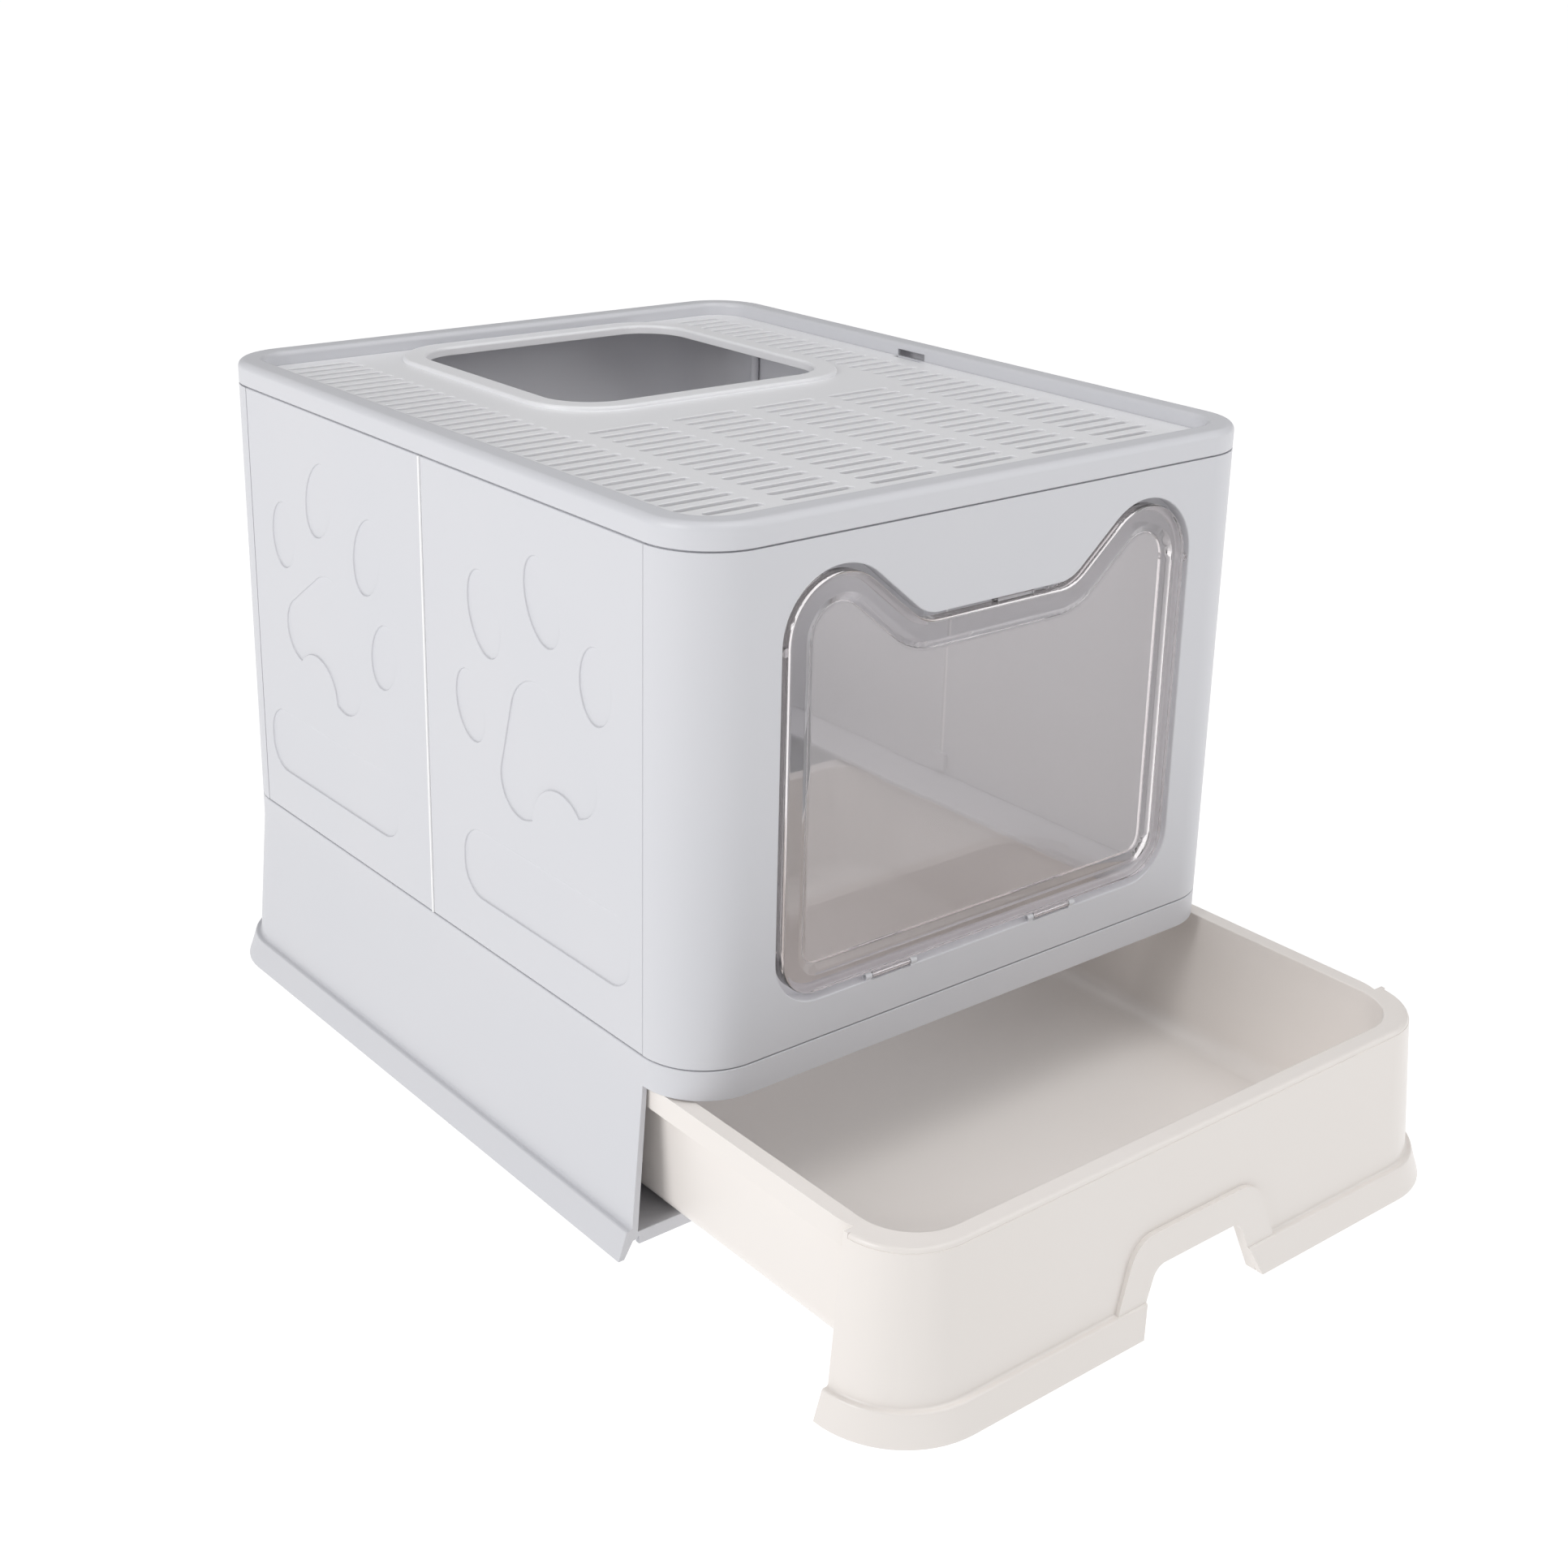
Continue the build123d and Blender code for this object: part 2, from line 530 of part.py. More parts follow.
# ================================================================ lid
def make_lid_frame():
    ring = block(0, LID_UNDER, CREST) - block(RIM_W, LID_UNDER, CREST)
    top = ring.faces().sort_by(Axis.Z)[-1]
    ring = fillet(top.outer_wire().edges(), RIM_OUT_R)
    top = ring.faces().sort_by(Axis.Z)[-1]
    ring = fillet(top.inner_wires()[0].edges(), RIM_IN_R)
    ring -= block(WALL, LID_UNDER - 1, CREST - RIM_SKIN) - block(RIM_W - RIM_SKIN, LID_UNDER - 1, CREST)
    ring += block(0, LID_LOW, LID_UNDER) - block(LIP_T, LID_LOW, LID_UNDER)
    shelf = LID_UNDER + SHELF_T
    ring += block(RIM_W - RIM_SKIN, LID_UNDER, shelf) - block(SHELF_IN, LID_UNDER, shelf)
    for side in (-1, 1):
        x = side * (HALF_W - RIM_W)
        ring -= bar(x - 4, x + 4, SNAP_Y - SNAP_L / 2, SNAP_Y + SNAP_L / 2, DECK_TOP, DECK_TOP + SNAP_H)
    return ring


def slot_faces():
    """All slots of the deck: full rows in front, the outer columns alone beside the hole."""
    spots = []
    for row in range(ROWS):
        y = FIRST_ROW + row * ROW_PITCH
        for column in range(COLUMNS):
            x = (column - (COLUMNS - 1) / 2) * COLUMN_PITCH
            outer = column in (0, COLUMNS - 1)
            if row >= FULL_ROWS and not outer:
                continue
            length = SLOT_L
            if row == 0 and outer:
                length = CORNER_SLOT_L
                x -= (SLOT_L - length) / 2 * (1 if x > 0 else -1)
            elif row >= FULL_ROWS and column == COLUMNS - 1:
                length = SIDE_SLOT_L
                x += (SLOT_L - length) / 2
            spots.append(Pos(x, y) * SlotOverall(length, SLOT_W))
    return spots


def make_deck():
    inset = RIM_W + FIT
    shelf = SHELF_IN + 0.5
    hole = Pos(HOLE_AT[0], HOLE_AT[1]) * RectangleRounded(HOLE_W, HOLE_D, HOLE_R)
    lip = Pos(HOLE_AT[0], HOLE_AT[1]) * RectangleRounded(HOLE_W + 2 * HOLE_LIP_W, HOLE_D + 2 * HOLE_LIP_W,
                                                         HOLE_R + HOLE_LIP_W)
    outline = RectangleRounded(2 * (HALF_W - shelf), 2 * (HALF_D - shelf), CORNER_R - shelf)
    holes = Sketch() + slot_faces() + hole
    body = extrude(Pos(0, 0, DECK_TOP - DECK_T) * (outline - holes), DECK_T)
    low = DECK_TOP - DECK_EDGE_T
    body += block(inset, low, DECK_TOP) - block(shelf + 1, low, DECK_TOP)
    ring = extrude(Pos(0, 0, DECK_TOP - DECK_T) * (lip - hole), HOLE_LIP_TOP - DECK_TOP + DECK_T)
    top = ring.faces().sort_by(Axis.Z)[-1]
    ring = fillet(top.edges(), 1.8)
    body += ring
    body -= block(RIM_W - 2, DECK_TOP - DECK_T - 1, DECK_TOP - DECK_EDGE_T) - block(shelf, 0, 400)
    for side in (-1, 1):
        x = side * (HALF_W - inset)
        body -= bar(x - 4, x + 4, SNAP_Y - SNAP_L / 2, SNAP_Y + SNAP_L / 2, DECK_TOP - DECK_T, DECK_TOP + 1)
    return body


# ================================================================ write one file per piece
os.makedirs("parts", exist_ok=True)
write(make_base(), "base_chassis")
write(make_drawer(), "drawer_tub")
write(make_front(), "front_panel")
write(make_back(), "back_panel")
write(make_half_wall(-1, -1), "left_front_panel")
write(make_half_wall(-1, 1), "left_rear_panel")
write(make_half_wall(1, -1), "right_front_panel")
write(make_half_wall(1, 1), "right_rear_panel")
write(make_corner_pin(-1, -1), "front_left_hinge_pin")
write(make_corner_pin(-1, 1), "rear_left_hinge_pin")
write(make_corner_pin(1, -1), "front_right_hinge_pin")
write(make_corner_pin(1, 1), "rear_right_hinge_pin")
write(make_strip(-1), "left_knee_strip")
write(make_strip(1), "right_knee_strip")
write(make_clip(-1), "left_fold_clip")
write(make_clip(1), "right_fold_clip")
write(make_lid_frame(), "lid_frame")
write(make_deck(), "slotted_deck")
write(make_door(), "door_flap")
write(make_latch(), "door_latch")
export_step(make_door_pins(), "parts/door_hinge_pins.step")
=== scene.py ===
import logging
import math
from dataclasses import dataclass
from enum import Enum
from typing import Iterable, Optional, Union

import bmesh
import bpy
from mathutils import Matrix, Vector


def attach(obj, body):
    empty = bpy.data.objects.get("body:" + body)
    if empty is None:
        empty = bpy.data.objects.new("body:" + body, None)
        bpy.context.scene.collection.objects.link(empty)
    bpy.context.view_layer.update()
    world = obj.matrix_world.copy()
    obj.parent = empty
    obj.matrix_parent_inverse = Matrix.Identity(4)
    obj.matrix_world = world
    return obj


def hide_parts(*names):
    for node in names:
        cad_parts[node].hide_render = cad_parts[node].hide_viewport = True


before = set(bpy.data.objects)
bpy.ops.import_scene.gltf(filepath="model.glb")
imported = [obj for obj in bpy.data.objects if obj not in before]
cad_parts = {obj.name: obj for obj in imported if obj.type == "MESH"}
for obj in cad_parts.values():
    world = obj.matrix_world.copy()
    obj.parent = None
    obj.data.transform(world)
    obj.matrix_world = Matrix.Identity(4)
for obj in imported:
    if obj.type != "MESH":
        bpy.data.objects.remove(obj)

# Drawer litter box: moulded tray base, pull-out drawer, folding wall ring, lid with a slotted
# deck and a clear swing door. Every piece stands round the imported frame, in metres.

logging.basicConfig(level=logging.INFO, format="%(name)s: %(message)s")
LOG = logging.getLogger("litter_box")

MM = 0.001  # one millimetre in metres
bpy.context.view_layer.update()  # brings the imported solids up to date, before anything is dressed

JOIN_MM = 0.002  # triangle corners nearer than this are one corner
WELD_MM = 0.001  # the same after the edges are rounded
FLAT_DEG = 0.6  # faces that turn less than this make one flat face
SHARP_DEG = 28.0  # edges that turn less than this stay as they are
SLOT_RIM_EDGES = range(41, 48)  # how many edges the rim of a deck slot has
FACE_WEIGHT = 50  # how much large faces lead the shading of the corners

Colour = tuple[float, float, float, float]


class Slot(Enum):
    """Finishes that the record names."""

    SHELL = "shell"
    DECK = "deck"
    DRAWER = "drawer"
    HINGE = "living_hinge"
    CLEAR = "clear"
    STEEL = "steel"


class Body(Enum):
    """Moving bodies of the frame."""

    BASE = "base"
    DRAWER = "drawer"
    FRONT = "front"
    LEFT_FRONT = "left_front"
    LEFT_REAR = "left_rear"
    BACK = "back"
    RIGHT_FRONT = "right_front"
    RIGHT_REAR = "right_rear"
    LID = "lid"
    DOOR = "door"


# ---------------------------------------------------------------- materials


def linear(hex_colour: str) -> Colour:
    """Turns an sRGB hex colour into linear red, green, blue and alpha.

    Args:
        hex_colour: six hex digits, with or without a leading #.

    Returns:
        Linear colour with alpha 1.
    """
    digits = hex_colour.lstrip("#")
    channels = [int(digits[at : at + 2], 16) / 255.0 for at in (0, 2, 4)]
    low = [c / 12.92 if c <= 0.04045 else ((c + 0.055) / 1.055) ** 2.4 for c in channels]
    return (low[0], low[1], low[2], 1.0)


def add_node(
    tree: bpy.types.NodeTree,
    kind: str,
    settings: Optional[dict] = None,
    links: Optional[dict] = None,
) -> bpy.types.Node:
    """Adds one node with its settings and links.

    Args:
        tree: node tree that gets the node.
        kind: type name of the node.
        settings: values; a lower-case name is a property, any other name or number an input.
        links: output sockets by the input that each one feeds.

    Returns:
        The new node.
    """
    node = tree.nodes.new(kind)
    for name, value in (settings or {}).items():
        if isinstance(name, str) and name.islower():
            setattr(node, name, value)
        else:
            node.inputs[name].default_value = value
    for name, socket in (links or {}).items():
        tree.links.new(socket, node.inputs[name])
    return node


def waves_per_metre(size_mm: float) -> float:
    """Noise scale whose lumps are about size_mm across."""
    return 1.0 / (size_mm * MM)


def open_material(name: str) -> tuple[bpy.types.Material, bpy.types.NodeTree]:
    """Starts an empty node material.

    Args:
        name: what the piece is made of.

    Returns:
        The material and its node tree.
    """
    material = bpy.data.materials.new(name)
    material.use_nodes = True
    material.node_tree.nodes.clear()
    return material, material.node_tree


def close_material(tree: bpy.types.NodeTree, surface: bpy.types.NodeSocket) -> None:
    """Ends a material with its output.

    Args:
        tree: the material's node tree.
        surface: output socket of its last shader.
    """
    add_node(tree, "ShaderNodeOutputMaterial", {}, {"Surface": surface})


def noise(
    tree: bpy.types.NodeTree,
    size_mm: float,
    detail: float,
    roughness: float,
    place: bpy.types.NodeSocket,
) -> bpy.types.NodeSocket:
    """Adds a noise pattern.

    Args:
        tree: node tree that gets it.
        size_mm: how wide its lumps are.
        detail: how many finer layers it has.
        roughness: how strong the finer layers are.
        place: coordinates that it lies on.

    Returns:
        The pattern's value.
    """
    settings = {"Scale": waves_per_metre(size_mm), "Detail": detail, "Roughness": roughness}
    return add_node(tree, "ShaderNodeTexNoise", settings, {"Vector": place}).outputs["Fac"]


@dataclass(frozen=True)
class MouldedPlastic:
    """Injection-moulded thermoplastic: even colour, fine tool grain, faint melt-flow clouds."""

    name: str
    slot: Slot
    colour: str
    cloud: str  # second tone, for slow colour drift across the moulding
    roughness: float
    roughness_drift: float  # how far polish changes over a hand's width
    grain_mm: float  # spacing of the spark-eroded tool grain
    grain_height_mm: float
    grain_strength: float = 0.02
    drift_mm: float = 90.0  # a hand's width
    swell_mm: float = 120.0  # sink and warp of a large thin wall
    swell_height_mm: float = 0.2
    swell_strength: float = 0.05
    ior: float = 1.49  # polypropylene

    def make(self) -> bpy.types.Material:
        """Builds the node material."""
        material, tree = open_material(self.name)
        place = add_node(tree, "ShaderNodeTexCoord").outputs["Object"]
        clouds = noise(tree, self.drift_mm, 3.0, 0.45, place)
        tone = add_node(
            tree,
            "ShaderNodeMix",
            {"data_type": "RGBA", 6: linear(self.colour), 7: linear(self.cloud)},
            {0: clouds},
        )
        polish = add_node(
            tree,
            "ShaderNodeMapRange",
            {
                "To Min": self.roughness - self.roughness_drift,
                "To Max": self.roughness + self.roughness_drift,
            },
            {"Value": clouds},
        )
        swell = add_node(
            tree,
            "ShaderNodeBump",
            {"Strength": self.swell_strength, "Distance": self.swell_height_mm * MM},
            {"Height": noise(tree, self.swell_mm, 1.0, 0.3, place)},
        )
        grain = add_node(
            tree,
            "ShaderNodeBump",
            {"Strength": self.grain_strength, "Distance": self.grain_height_mm * MM},
            {
                "Height": noise(tree, self.grain_mm, 2.0, 0.6, place),
                "Normal": swell.outputs["Normal"],
            },
        )
        shader = add_node(
            tree,
            "ShaderNodeBsdfPrincipled",
            {"IOR": self.ior},
            {
                "Base Color": tone.outputs[2],
                "Roughness": polish.outputs["Result"],
                "Normal": grain.outputs["Normal"],
            },
        )
        close_material(tree, shader.outputs["BSDF"])
        return material


@dataclass(frozen=True)
class ClearPlastic:
    """Clear moulded styrene acrylonitrile: polished, with faint flow waves and a warm tint."""

    name: str
    slot: Slot
    tint: str
    film: str  # what is left of lamp light after one face
    roughness: float
    haze: float = 0.02  # share of light that a polished face scatters
    pane_haze: float = 0.16  # the same for the wide pane, where noses and paws scuff it
    pane_y_mm: float = -230.7  # middle of the pane's thickness, door shut
    pane_half_mm: float = 1.2  # a little over half its thickness
    ior: float = 1.57
    smear_mm: float = 25.0  # where the polish changes
    wave_mm: float = 60.0
    wave_height_mm: float = 0.03
    wave_strength: float = 0.3

    def make(self) -> bpy.types.Material:
        """Builds the node material."""
        material, tree = open_material(self.name)
        place = add_node(tree, "ShaderNodeTexCoord").outputs["Object"]
        polish = add_node(
            tree,
            "ShaderNodeMapRange",
            {"To Min": self.roughness * 0.5, "To Max": self.roughness * 1.5},
            {"Value": noise(tree, self.smear_mm, 4.0, 0.6, place)},
        )
        waves = add_node(
            tree,
            "ShaderNodeBump",
            {"Strength": self.wave_strength, "Distance": self.wave_height_mm * MM},
            {"Height": noise(tree, self.wave_mm, 1.0, 0.3, place)},
        )
        depth = add_node(tree, "ShaderNodeSeparateXYZ", {}, {"Vector": place})
        on_pane = add_node(
            tree,
            "ShaderNodeMath",
            {"operation": "COMPARE", 1: self.pane_y_mm * MM, 2: self.pane_half_mm * MM},
            {0: depth.outputs["Y"]},
        )
        clear = add_node(
            tree,
            "ShaderNodeMapRange",
            {"To Min": 1.0 - self.haze, "To Max": 1.0 - self.pane_haze},
            {"Value": on_pane.outputs["Value"]},
        )
        shader = add_node(
            tree,
            "ShaderNodeBsdfPrincipled",
            {"Base Color": linear(self.tint), "IOR": self.ior},
            {
                "Roughness": polish.outputs["Result"],
                "Normal": waves.outputs["Normal"],
                "Transmission Weight": clear.outputs["Result"],
            },
        )
        # light from the lamps reaches what is behind the clear sheet, a little dimmed by it
        path = add_node(tree, "ShaderNodeLightPath")
        film = add_node(tree, "ShaderNodeBsdfTransparent", {"Color": linear(self.film)})
        mixed = add_node(
            tree,
            "ShaderNodeMixShader",
            {},
            {0: path.outputs["Is Shadow Ray"], 1: shader.outputs["BSDF"], 2: film.outputs["BSDF"]},
        )
        close_material(tree, mixed.outputs["Shader"])
        return material


@dataclass(frozen=True)
class DrawnSteel:
    """Drawn stainless wire: bright, with fine lengthwise draw lines."""

    name: str
    slot: Slot
    colour: str
    roughness: float
    line_mm: float = 0.3  # width of the draw lines
    line_squeeze: float = 0.02  # a line is fifty times as long as it is wide
    line_height_mm: float = 0.02
    line_strength: float = 0.3

    def make(self) -> bpy.types.Material:
        """Builds the node material."""
        material, tree = open_material(self.name)
        place = add_node(tree, "ShaderNodeTexCoord").outputs["Object"]
        stretched = add_node(
            tree, "ShaderNodeMapping", {"Scale": (1.0, 1.0, self.line_squeeze)}, {"Vector": place}
        )
        lines = noise(tree, self.line_mm, 2.0, 0.5, stretched.outputs["Vector"])
        polish = add_node(
            tree,
            "ShaderNodeMapRange",
            {"To Min": self.roughness - 0.08, "To Max": self.roughness + 0.1},
            {"Value": lines},
        )
        bump = add_node(
            tree,
            "ShaderNodeBump",
            {"Strength": self.line_strength, "Distance": self.line_height_mm * MM},
            {"Height": lines},
        )
        shader = add_node(
            tree,
            "ShaderNodeBsdfPrincipled",
            {"Base Color": linear(self.colour), "Metallic": 1.0},
            {"Roughness": polish.outputs["Result"], "Normal": bump.outputs["Normal"]},
        )
        close_material(tree, shader.outputs["BSDF"])
        return material


Finish = Union[MouldedPlastic, ClearPlastic, DrawnSteel]


@dataclass(frozen=True)
class Palette:
    """All finishes of the litter box."""

    # Light cool-grey polypropylene with a satin tool finish: base, walls and lid rim.
    shell: Finish = MouldedPlastic(
        name="moulded_polypropylene_light_grey",
        slot=Slot.SHELL,
        colour="#CECFD4",
        cloud="#D2D2D6",
        roughness=0.4,
        roughness_drift=0.03,
        grain_mm=0.9,
        grain_height_mm=0.006,
    )
    # White polypropylene, a little finer and glossier: the slotted deck.
    deck: Finish = MouldedPlastic(
        name="moulded_polypropylene_white",
        slot=Slot.DECK,
        colour="#E9E9EC",
        cloud="#ECECEE",
        roughness=0.34,
        roughness_drift=0.03,
        grain_mm=0.8,
        grain_height_mm=0.005,
    )
    # Warm white polypropylene, glossy from a polished tool: the drawer.
    drawer: Finish = MouldedPlastic(
        name="moulded_polypropylene_warm_white",
        slot=Slot.DRAWER,
        colour="#E9E3DE",
        cloud="#EBE6E2",
        roughness=0.3,
        roughness_drift=0.03,
        grain_mm=0.8,
        grain_height_mm=0.004,
    )
    # Thin flexing polypropylene, whitened by folding: the middle fold strips.
    hinge: Finish = MouldedPlastic(
        name="flexed_polypropylene_white",
        slot=Slot.HINGE,
        colour="#F1F1F2",
        cloud="#FAFAFA",
        roughness=0.5,
        roughness_drift=0.05,
        grain_mm=0.5,
        grain_height_mm=0.03,
        drift_mm=12.0,
    )
    # Clear polished moulding with a faint warm tint: the swing door and its catch.
    clear: Finish = ClearPlastic(
        name="polished_clear_styrene", slot=Slot.CLEAR, tint="#F4F0F1", film="#F2F0F0", roughness=0.03
    )
    # Bright drawn wire: hinge pins of the folds and the door.
    steel: Finish = DrawnSteel(
        name="drawn_stainless_steel", slot=Slot.STEEL, colour="#C4C6C9", roughness=0.28
    )


# ---------------------------------------------------------------- mesh work


def merged_copy(node: str) -> bmesh.types.BMesh:
    """Copies a solid's triangles, joins them and clears the flat seams between them.

    Args:
        node: name of the CAD node.

    Returns:
        A closed mesh with whole flat faces.
    """
    mesh = bmesh.new()
    mesh.from_mesh(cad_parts[node].data)
    bmesh.ops.remove_doubles(mesh, verts=mesh.verts, dist=JOIN_MM * MM)
    bmesh.ops.dissolve_limit(
        mesh, angle_limit=math.radians(FLAT_DEG), verts=mesh.verts, edges=mesh.edges
    )
    return mesh


def edge_chains(edges: Iterable[bmesh.types.BMEdge]) -> list[list[bmesh.types.BMEdge]]:
    """Sorts edges into groups that hang together.

    Args:
        edges: the edges to sort.

    Returns:
        One list of edges for each connected group.
    """
    waiting = dict.fromkeys(edges)
    chains = []
    while waiting:
        first = next(iter(waiting))
        del waiting[first]
        chain, front = [first], [first]
        while front:
            edge = front.pop()
            for vert in edge.verts:
                for other in vert.link_edges:
                    if other in waiting:
                        del waiting[other]
                        chain.append(other)
                        front.append(other)
        chains.append(chain)
    return chains


def soften(mesh: bmesh.types.BMesh, radius_mm: float, segments: int) -> None:
    """Rounds the sharp edges of a moulding, group by group.

    Args:
        mesh: closed mesh, changed in place.
        radius_mm: width of the rounding.
        segments: faces across each rounding.
    """
    sharp = [
        edge
        for edge in mesh.edges
        if edge.is_manifold and edge.calc_face_angle() > math.radians(SHARP_DEG)
    ]
    # slot rims of one kind are rounded in one go; every other chain is rounded by itself
    groups: dict[int, list[bmesh.types.BMEdge]] = {}
    for at, chain in enumerate(edge_chains(sharp)):
        key = len(chain) if len(chain) in SLOT_RIM_EDGES else -at
        groups.setdefault(key, []).extend(chain)
    for key, edges in groups.items():
        bmesh.ops.bevel(
            mesh,
            geom=edges,
            offset=radius_mm * MM,
            offset_type="OFFSET",
            segments=segments,
            profile=0.5,
            affect="EDGES",
            clamp_overlap=key <= 0,
            material=-1,
        )


def finish_piece(
    mesh: bmesh.types.BMesh, name: str, body: Body, finish: Finish, nodes: Iterable[str]
) -> bpy.types.Object:
    """Turns a mesh into a dressed piece that rides on its body.

    Args:
        mesh: the shape, in place; freed here.
        name: name of the piece.
        body: body that it moves with.
        finish: what it is made of.
        nodes: CAD nodes that it stands for.

    Returns:
        The piece.
    """
    bmesh.ops.remove_doubles(mesh, verts=mesh.verts, dist=WELD_MM * MM)
    data = bpy.data.meshes.new(name)
    mesh.to_mesh(data)
    mesh.free()
    data.shade_smooth()
    piece = bpy.data.objects.new(name, data)
    bpy.context.scene.collection.objects.link(piece)
    weighted = piece.modifiers.new("face_weighted_normals", "WEIGHTED_NORMAL")
    weighted.keep_sharp = True
    weighted.weight = FACE_WEIGHT
    data.materials.append(material_of(finish))
    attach(piece, body.value)
    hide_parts(*nodes)
    LOG.info("%s: %d faces on %s", name, len(data.polygons), body.value)
    return piece


def material_of(finish: Finish) -> bpy.types.Material:
    """The finish's material, built the first time it is asked for."""
    return bpy.data.materials.get(finish.name) or finish.make()


# ---------------------------------------------------------------- sub-assemblies


@dataclass
class Moulding:
    """A moulded piece whose form is its solid's, with its edges rounded."""

    node: str
    body: Body
    finish: Finish
    name: str
    edge_mm: float = 0.5
    segments: int = 2

    def build(self) -> bpy.types.Object:
        """Builds and dresses the piece."""
        mesh = merged_copy(self.node)
        soften(mesh, self.edge_mm, self.segments)
        return finish_piece(mesh, self.name, self.body, self.finish, [self.node])


@dataclass
class TrayBase:
    """Tray base that the drawer runs in and the wall ring stands on."""

    palette: Palette
    edge_mm: float = 0.6

    def build(self) -> list[bpy.types.Object]:
        """Builds the base."""
        return [
            Moulding("base_chassis", Body.BASE, self.palette.shell, "tray_base", self.edge_mm).build()
        ]


@dataclass
class Drawer:
    """Pull-out waste drawer with its finger opening."""

    palette: Palette
    edge_mm: float = 0.7

    def build(self) -> list[bpy.types.Object]:
        """Builds the drawer."""
        return [
            Moulding("drawer_tub", Body.DRAWER, self.palette.drawer, "drawer", self.edge_mm).build()
        ]


@dataclass
class WallRing:
    """Front and back walls with the folding side walls between them."""

    palette: Palette
    panel_edge_mm: float = 0.45
    strip_edge_mm: float = 0.3
    clip_edge_mm: float = 0.4
    pin_edge_mm: float = 0.3
    panels: tuple[tuple[str, Body], ...] = (
        ("front_panel", Body.FRONT),
        ("back_panel", Body.BACK),
        ("left_front_panel", Body.LEFT_FRONT),
        ("left_rear_panel", Body.LEFT_REAR),
        ("right_front_panel", Body.RIGHT_FRONT),
        ("right_rear_panel", Body.RIGHT_REAR),
    )
    strips: tuple[tuple[str, Body], ...] = (
        ("left_knee_strip", Body.LEFT_FRONT),
        ("right_knee_strip", Body.RIGHT_FRONT),
    )
    clips: tuple[tuple[str, Body], ...] = (
        ("left_fold_clip", Body.LEFT_REAR),
        ("right_fold_clip", Body.RIGHT_REAR),
    )
    pins: tuple[tuple[str, Body], ...] = (
        ("front_left_hinge_pin", Body.FRONT),
        ("front_right_hinge_pin", Body.FRONT),
        ("rear_left_hinge_pin", Body.BACK),
        ("rear_right_hinge_pin", Body.BACK),
    )

    def build(self) -> list[bpy.types.Object]:
        """Builds the panels and what joins them."""
        look = self.palette
        kinds = (
            (self.panels, "wall", look.shell, self.panel_edge_mm),
            (self.strips, "fold", look.hinge, self.strip_edge_mm),
            (self.clips, "fold", look.shell, self.clip_edge_mm),
            (self.pins, "wire", look.steel, self.pin_edge_mm),
        )
        return [
            Moulding(node, body, finish, f"{kind}_{node}", edge_mm).build()
            for places, kind, finish, edge_mm in kinds
            for node, body in places
        ]


@dataclass
class Door:
    """Clear swing door, its catch and its hinge wires."""

    palette: Palette
    flap_edge_mm: float = 0.35
    catch_edge_mm: float = 0.4
    wire_edge_mm: float = 0.25

    def build(self) -> list[bpy.types.Object]:
        """Builds the door."""
        look = self.palette
        return [
            Moulding("door_flap", Body.DOOR, look.clear, "swing_door", self.flap_edge_mm).build(),
            Moulding(
                "door_latch", Body.DOOR, look.clear, "swing_door_catch", self.catch_edge_mm
            ).build(),
            Moulding(
                "door_hinge_pins", Body.FRONT, look.steel, "door_wires", self.wire_edge_mm
            ).build(),
        ]


@dataclass
class Lid:
    """Lid rim and the slotted deck that it carries."""

    palette: Palette
    edge_mm: float = 0.5

    def build(self) -> list[bpy.types.Object]:
        """Builds the lid."""
        look = self.palette
        return [
            Moulding("lid_frame", Body.LID, look.shell, "lid_rim", self.edge_mm).build(),
            Moulding("slotted_deck", Body.LID, look.deck, "lid_deck", self.edge_mm).build(),
        ]


@dataclass(frozen=True)
class SoftBox:
    """One soft lamp; places and sizes in metres."""

    name: str
    at: tuple[float, float, float]
    towards: tuple[float, float, float]  # the point that it faces
    size: tuple[float, float]  # width and height
    watts: float


MIDDLE = (0.0, 0.0, 0.2)  # of the litter box
LAMPS = (
    SoftBox("overhead_box", (0.6, -1.0, 2.3), MIDDLE, (2.2, 2.2), 25.0),
    SoftBox("left_box", (-2.6, -0.1, 1.6), MIDDLE, (1.4, 1.8), 43.5),
    SoftBox("right_box", (1.9, -2.3, 1.3), MIDDLE, (1.4, 1.4), 14.0),
    # light that the pale walls pass on into the cabin
    SoftBox("cabin_glow", (0.02, 0.03, 0.34), (0.05, 0.02, 0.0), (0.26, 0.3), 0.17),
)


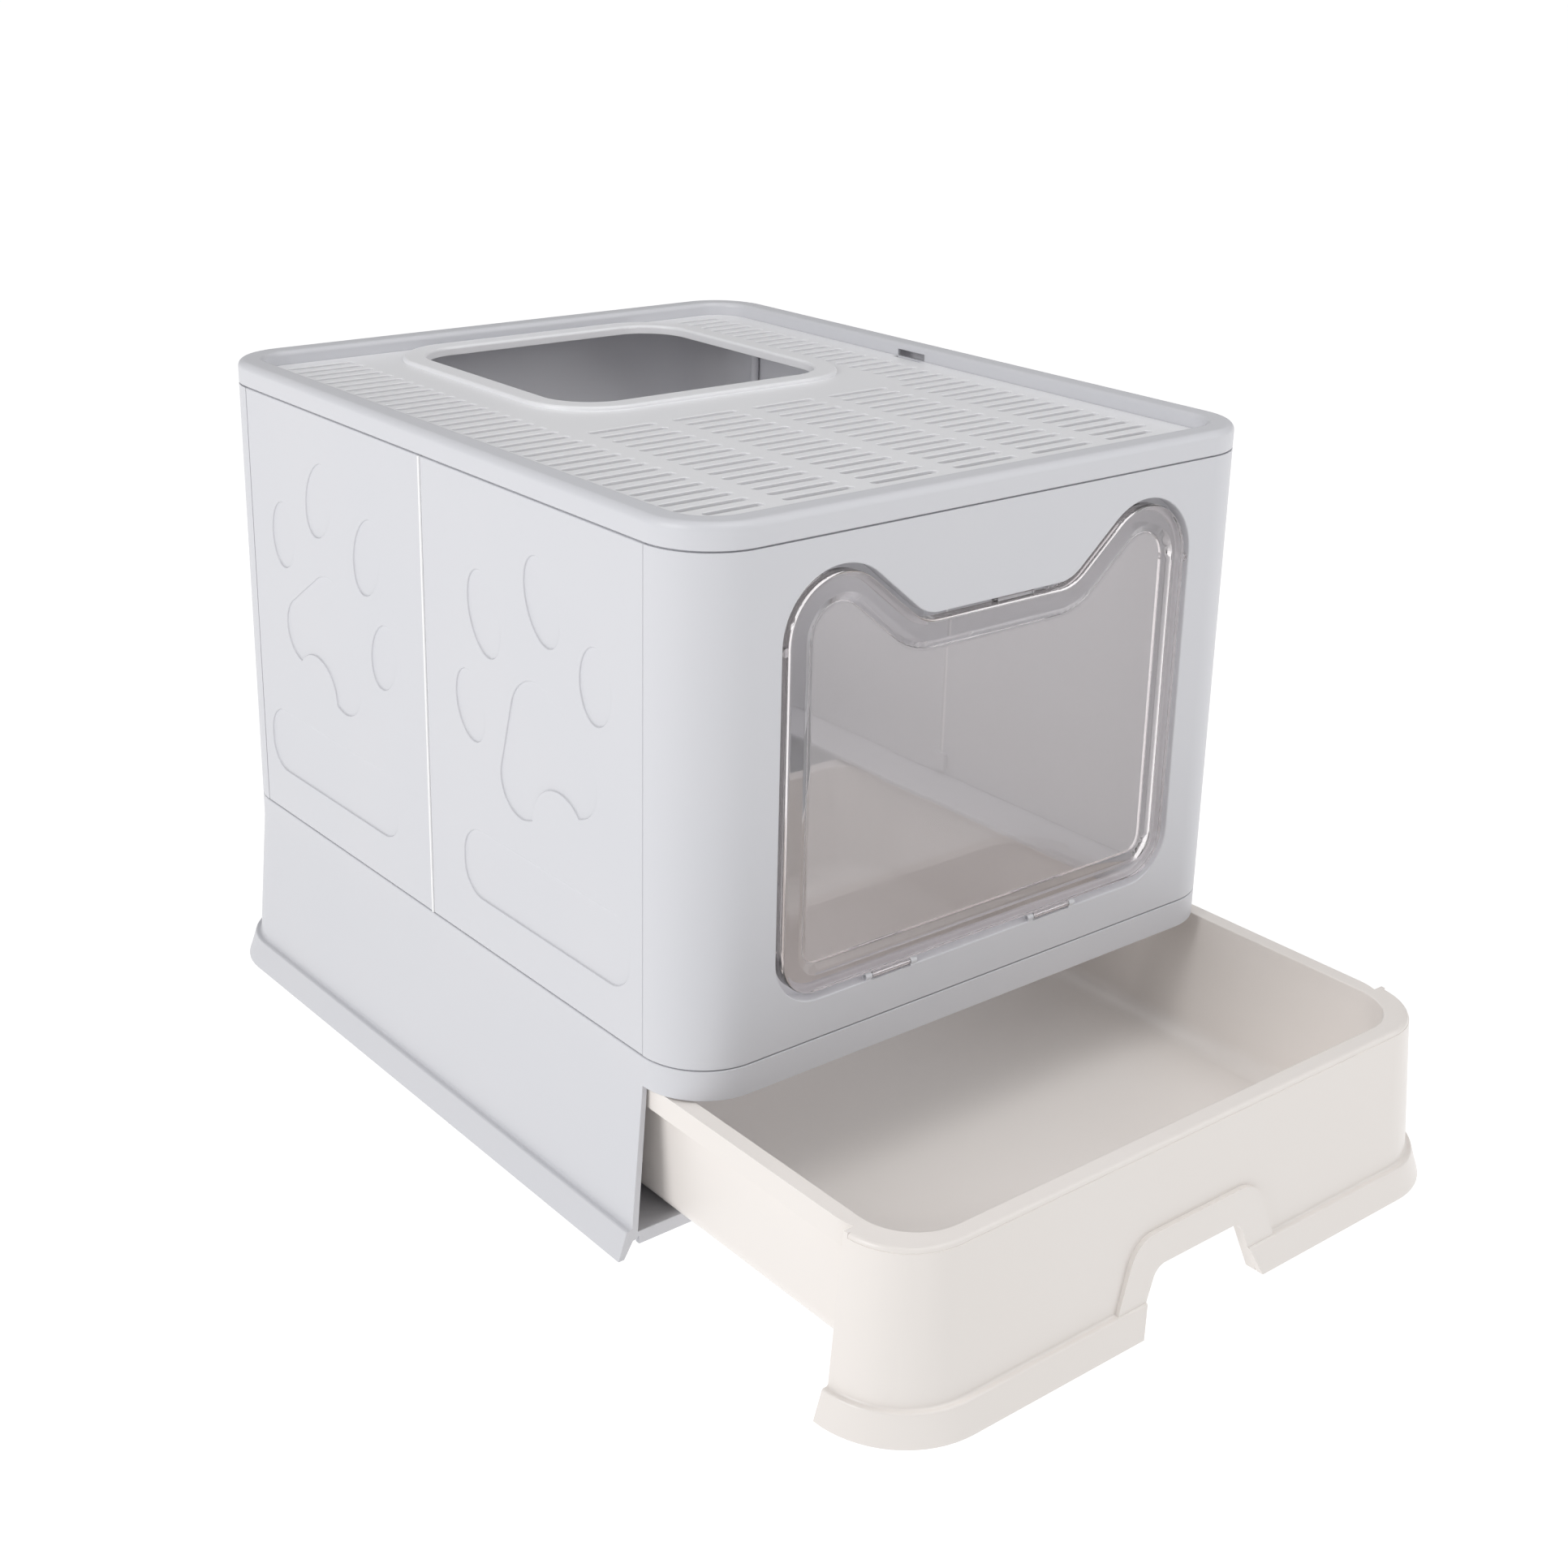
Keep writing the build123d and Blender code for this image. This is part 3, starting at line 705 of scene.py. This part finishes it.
@dataclass
class Studio:
    """Plain pale floor, soft lights and the camera."""

    # Camera: its place in millimetres, its angles, and its focal length and the row of its
    # horizon in pixels of a picture frame_px wide.
    eye_mm: tuple[float, float, float] = (-731.03, -958.97, 636.30)
    azimuth_deg: float = -39.31
    elevation_deg: float = 18.79
    roll_deg: float = 1.29
    focal_px: float = 2687.77
    frame_px: float = 1932.0
    horizon_px: float = 800.0
    sensor_mm: float = 36.0
    clip_m: float = 100.0
    floor_half_m: float = 40.0
    floor_colour: str = "#707070"
    floor_glow: float = 0.97  # keeps the paper near white far from the lamps
    sky_strength: float = 0.27

    def add_floor(self) -> None:
        """Adds the plain pale floor."""
        mesh = bmesh.new()
        bmesh.ops.create_grid(mesh, x_segments=8, y_segments=8, size=self.floor_half_m)
        data = bpy.data.meshes.new("studio_floor")
        mesh.to_mesh(data)
        mesh.free()
        floor = bpy.data.objects.new("studio_floor", data)
        bpy.context.scene.collection.objects.link(floor)
        material, tree = open_material("matte_white_paper")
        shader = add_node(
            tree,
            "ShaderNodeBsdfPrincipled",
            {
                "Base Color": linear(self.floor_colour),
                "Roughness": 0.9,
                "Specular IOR Level": 0.0,
                "Emission Color": linear("#FFFFFF"),
                "Emission Strength": self.floor_glow,
            },
        )
        close_material(tree, shader.outputs["BSDF"])
        data.materials.append(material)

    def add_light(self, lamp: SoftBox) -> None:
        """Adds one soft box.

        Args:
            lamp: where it stands, what it faces, its size and its power.
        """
        light = bpy.data.lights.new(lamp.name, "AREA")
        light.shape = "RECTANGLE"
        light.size, light.size_y = lamp.size
        light.energy = lamp.watts
        at, towards = Vector(lamp.at), Vector(lamp.towards)
        stand = bpy.data.objects.new(lamp.name, light)
        stand.location = at
        stand.visible_camera = False
        stand.rotation_euler = (towards - at).to_track_quat("-Z", "Y").to_euler()
        bpy.context.scene.collection.objects.link(stand)

    def add_camera(self) -> None:
        """Adds the camera where the picture was taken from."""
        azimuth, elevation = math.radians(self.azimuth_deg), math.radians(self.elevation_deg)
        back = Vector(
            (
                math.sin(azimuth) * math.cos(elevation),
                -math.cos(azimuth) * math.cos(elevation),
                math.sin(elevation),
            )
        )
        right = (-back).cross(Vector((0.0, 0.0, 1.0))).normalized()
        up = right.cross(-back)
        turn = math.radians(self.roll_deg)
        rolled_right = math.cos(turn) * right + math.sin(turn) * up
        rolled_up = -math.sin(turn) * right + math.cos(turn) * up
        data = bpy.data.cameras.new("camera")
        data.sensor_width = self.sensor_mm
        data.sensor_fit = "HORIZONTAL"
        data.lens = self.focal_px * self.sensor_mm / self.frame_px
        data.shift_y = (self.horizon_px - self.frame_px / 2) / self.frame_px
        data.clip_end = self.clip_m
        camera = bpy.data.objects.new("camera", data)
        turn_matrix = Matrix((rolled_right, rolled_up, back)).transposed().to_4x4()
        camera.matrix_world = Matrix.Translation(Vector(self.eye_mm) * MM) @ turn_matrix
        bpy.context.scene.collection.objects.link(camera)
        bpy.context.scene.camera = camera

    def add_sky(self) -> None:
        """Adds the even white surround."""
        world = bpy.data.worlds.new("white_surround")
        bpy.context.scene.world = world
        world.use_nodes = True
        background = world.node_tree.nodes["Background"]
        background.inputs["Color"].default_value = linear("#FFFFFF")
        background.inputs["Strength"].default_value = self.sky_strength

    def build(self) -> None:
        """Sets up the whole studio."""
        self.add_floor()
        for lamp in LAMPS:
            self.add_light(lamp)
        self.add_camera()
        self.add_sky()
        bpy.context.scene.view_settings.view_transform = "Standard"


def main() -> None:
    """Builds every piece round the frame, then the studio."""
    palette = Palette()
    for part in (TrayBase(palette), Drawer(palette), WallRing(palette), Door(palette), Lid(palette)):
        pieces = part.build()
        LOG.info("%s: %d pieces", type(part).__name__, len(pieces))
    Studio().build()


if __name__ == "__main__":
    main()
